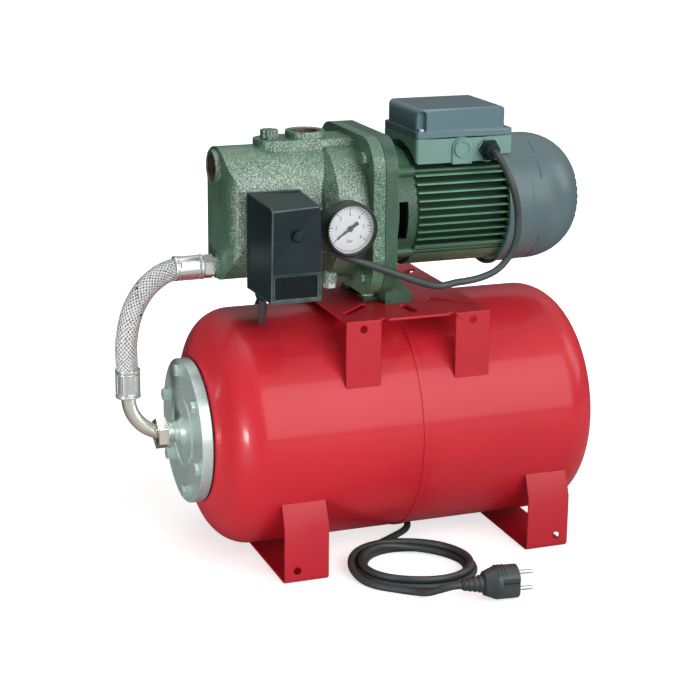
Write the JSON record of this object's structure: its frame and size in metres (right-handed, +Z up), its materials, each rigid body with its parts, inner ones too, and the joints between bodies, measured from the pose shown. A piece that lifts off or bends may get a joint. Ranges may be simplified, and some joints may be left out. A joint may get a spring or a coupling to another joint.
{
  "type": "pressure booster pump set",
  "caption": "Self-priming jet pump and motor on a horizontal pressure tank, with pressure switch, gauge, braided hose, and corded plug.",
  "frame": {"origin": "on the floor, midway between the feet across the depth and near the middle of the length, below the shaft", "axes": "+X along the shaft from the suction nose to the fan cover, +Y to the back, +Z up"},
  "size_m": [0.5716, 0.4106, 0.504],
  "materials": {
    "red_paint": "gloss stoving paint over sheet steel",
    "zinc": "bright zinc plate",
    "nickel": "bright nickel or chrome plate",
    "steel_braid": "braided stainless wire with a few blue threads",
    "cast_green": "rough casting under dark green paint",
    "motor_green": "dark green paint on die-cast aluminium",
    "box_green": "dark green moulded plastic",
    "slate_plastic": "slate grey moulded plastic",
    "cover_grey": "dark grey satin",
    "black_plastic": "black moulded plastic",
    "cord_black": "black cord sheath",
    "gauge_black": "black gauge case",
    "dial_white": "white dial",
    "clear": "clear gauge lens",
    "bladder_rubber": "moulded rubber",
    "techno": "moulded hydraulic plastic",
    "laminations": "stacked sheet",
    "shaft_steel": "ground steel",
    "seal_ceramic": "ceramic",
    "carbon": "carbon",
    "white_plastic": "white plastic",
    "pin_nickel": "nickelled brass"
  },
  "bodies": {
    "set": {"tank_left_shell": "red_paint", "tank_right_shell": "red_paint", "tank_seam_weld": "red_paint", "neck_ring": "red_paint", "bladder": "bladder_rubber", "counter_flange": "zinc", "flange_bolts": "zinc", "air_valve": "zinc", "foot_left": "red_paint", "foot_right": "red_paint", "pump_plate": "red_paint", "foot_bolts": "zinc", "elbow_pipe": "nickel", "union_nut": "nickel", "hose_ferrules": "nickel", "braided_hose": "steel_braid", "hose_nipple": "nickel", "pump_body": "cast_green", "body_bolts": "cast_green", "ejector": "techno", "diffuser": "techno", "body_gasket": "carbon", "seal_seat": "seal_ceramic", "motor_bracket": "cast_green", "motor_frame": "motor_green", "stator": "laminations", "bearings": "shaft_steel", "rear_shield": "motor_green", "tie_rods": "zinc", "fan_cover": "cover_grey", "terminal_box": "box_green", "capacitor": "white_plastic", "terminal_block": "white_plastic", "cable_gland": "black_plastic", "blank_plug": "box_green", "switch_base": "black_plastic", "switch_springs": "zinc", "switch_glands": "black_plastic", "gauge_case": "gauge_black", "gauge_dial": "dial_white", "gauge_lens": "clear", "motor_lead": "cord_black", "mains_cord": "cord_black", "mains_coil": "cord_black", "plug_body": "cord_black", "plug_pins": "pin_nickel"},
    "rotor": {"shaft": "shaft_steel", "rotor_core": "laminations", "impeller": "techno", "seal_ring": "carbon", "fan": "black_plastic"},
    "needle": {"gauge_needle": "black_plastic"},
    "priming": {"priming_plug": "cast_green"},
    "drain": {"drain_plug": "zinc"},
    "valve_cap": {"valve_cap": "black_plastic"},
    "cover": {"switch_cover": "black_plastic", "cover_screw": "black_plastic"},
    "lever": {"switch_lever": "zinc"},
    "lid": {"terminal_lid": "slate_plastic", "lid_screws": "zinc"}
  },
  "joints": [
    {"name": "shaft_spin", "type": "hinge", "parent": "set", "child": "rotor", "pos_m": [0, 0, 0.3903], "axis": [1, 0, 0], "continuous": true},
    {"name": "gauge_needle_turn", "type": "hinge", "parent": "set", "child": "needle", "pos_m": [-0.0487, -0.104, 0.3887], "axis": [0, 1, 0], "range_deg": [0, 270]},
    {"name": "priming_plug_out", "type": "slide", "parent": "set", "child": "priming", "axis": [0, 0, 1], "range_m": [0, 0.025]},
    {"name": "drain_plug_out", "type": "slide", "parent": "set", "child": "drain", "axis": [0, 0, -1], "range_m": [0, 0.012]},
    {"name": "valve_cap_off", "type": "slide", "parent": "set", "child": "valve_cap", "axis": [1, 0, 0], "range_m": [0, 0.015]},
    {"name": "switch_cover_off", "type": "slide", "parent": "set", "child": "cover", "axis": [0, -1, 0], "range_m": [0, 0.095]},
    {"name": "contact_lever_rock", "type": "hinge", "parent": "set", "child": "lever", "pos_m": [-0.123, -0.085, 0.3417], "axis": [1, 0, 0], "range_deg": [-3, 0]},
    {"name": "terminal_lid_off", "type": "slide", "parent": "set", "child": "lid", "axis": [0, 0, 1], "range_m": [0, 0.06]}
  ]
}
